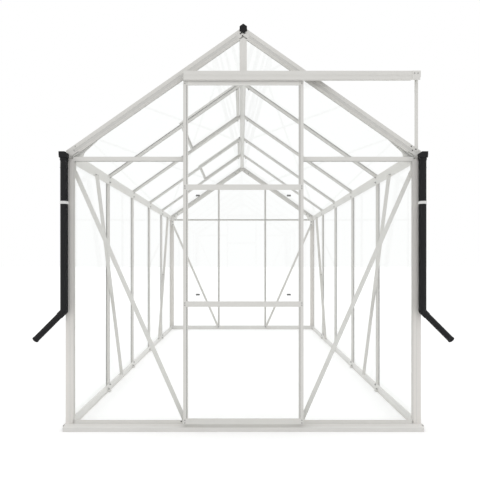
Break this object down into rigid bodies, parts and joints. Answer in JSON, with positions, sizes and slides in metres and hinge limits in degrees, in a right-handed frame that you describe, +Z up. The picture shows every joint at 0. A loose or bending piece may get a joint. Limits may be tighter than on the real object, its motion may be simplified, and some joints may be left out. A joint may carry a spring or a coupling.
{
  "type": "glass greenhouse",
  "caption": "Rectangular glasshouse with an aluminium frame, pitched glass roof with closed vents, sliding front door, eave gutters and corner downpipes.",
  "frame": {"origin": "on the ground, under the middle of the whole object's box", "axes": "+X to the right as seen from the door end, +Y from the door to the back, +Z up"},
  "size_m": [2.247, 3.24, 2.1915],
  "materials": {
    "frame": "warm light grey powder coat, satin",
    "black_plastic": "moulded black plastic",
    "white_plastic": "moulded white plastic",
    "glass": "clear float glass"
  },
  "bodies": {
    "house": {"front_sill": "frame", "rear_sill": "frame", "left_sill": "frame", "right_sill": "frame", "front_left_post": "frame", "front_right_post": "frame", "rear_left_post": "frame", "rear_right_post": "frame", "left_gutter": "frame", "right_gutter": "frame", "ridge_bar": "frame", "front_left_rafter": "frame", "front_right_rafter": "frame", "rear_left_rafter": "frame", "rear_right_rafter": "frame", "left_wall_bars": "frame", "right_wall_bars": "frame", "left_roof_bars": "frame", "right_roof_bars": "frame", "door_posts": "frame", "door_header": "frame", "header_hanger": "frame", "front_gable_rails": "frame", "rear_gable_bars": "frame", "rear_gable_rail": "frame", "front_braces": "frame", "rear_braces": "frame", "left_wall_braces": "frame", "right_wall_braces": "frame", "eave_gussets": "frame", "apex_gussets": "frame", "ridge_caps": "black_plastic", "door_runner": "frame", "runner_strut": "frame", "front_vent": "frame", "rear_vent": "frame", "vent_transoms": "frame", "vent_glass": "glass", "left_downpipe": "black_plastic", "right_downpipe": "black_plastic", "pipe_clips": "white_plastic", "gutter_end_caps": "black_plastic", "anchor_tabs": "frame", "left_wall_glass": "glass", "right_wall_glass": "glass", "left_roof_glass": "glass", "right_roof_glass": "glass", "front_gable_glass": "glass", "rear_gable_glass": "glass"},
    "door": {"door_stiles": "frame", "door_top_rail": "frame", "door_middle_rails": "frame", "door_bottom_rail": "frame", "door_glass": "glass", "door_clips": "black_plastic", "door_hangers": "frame", "door_rollers": "white_plastic"}
  },
  "joints": [
    {"name": "door_slide", "type": "slide", "parent": "house", "child": "door", "axis": [1, 0, 0], "range_m": [0, 0.6]}
  ]
}
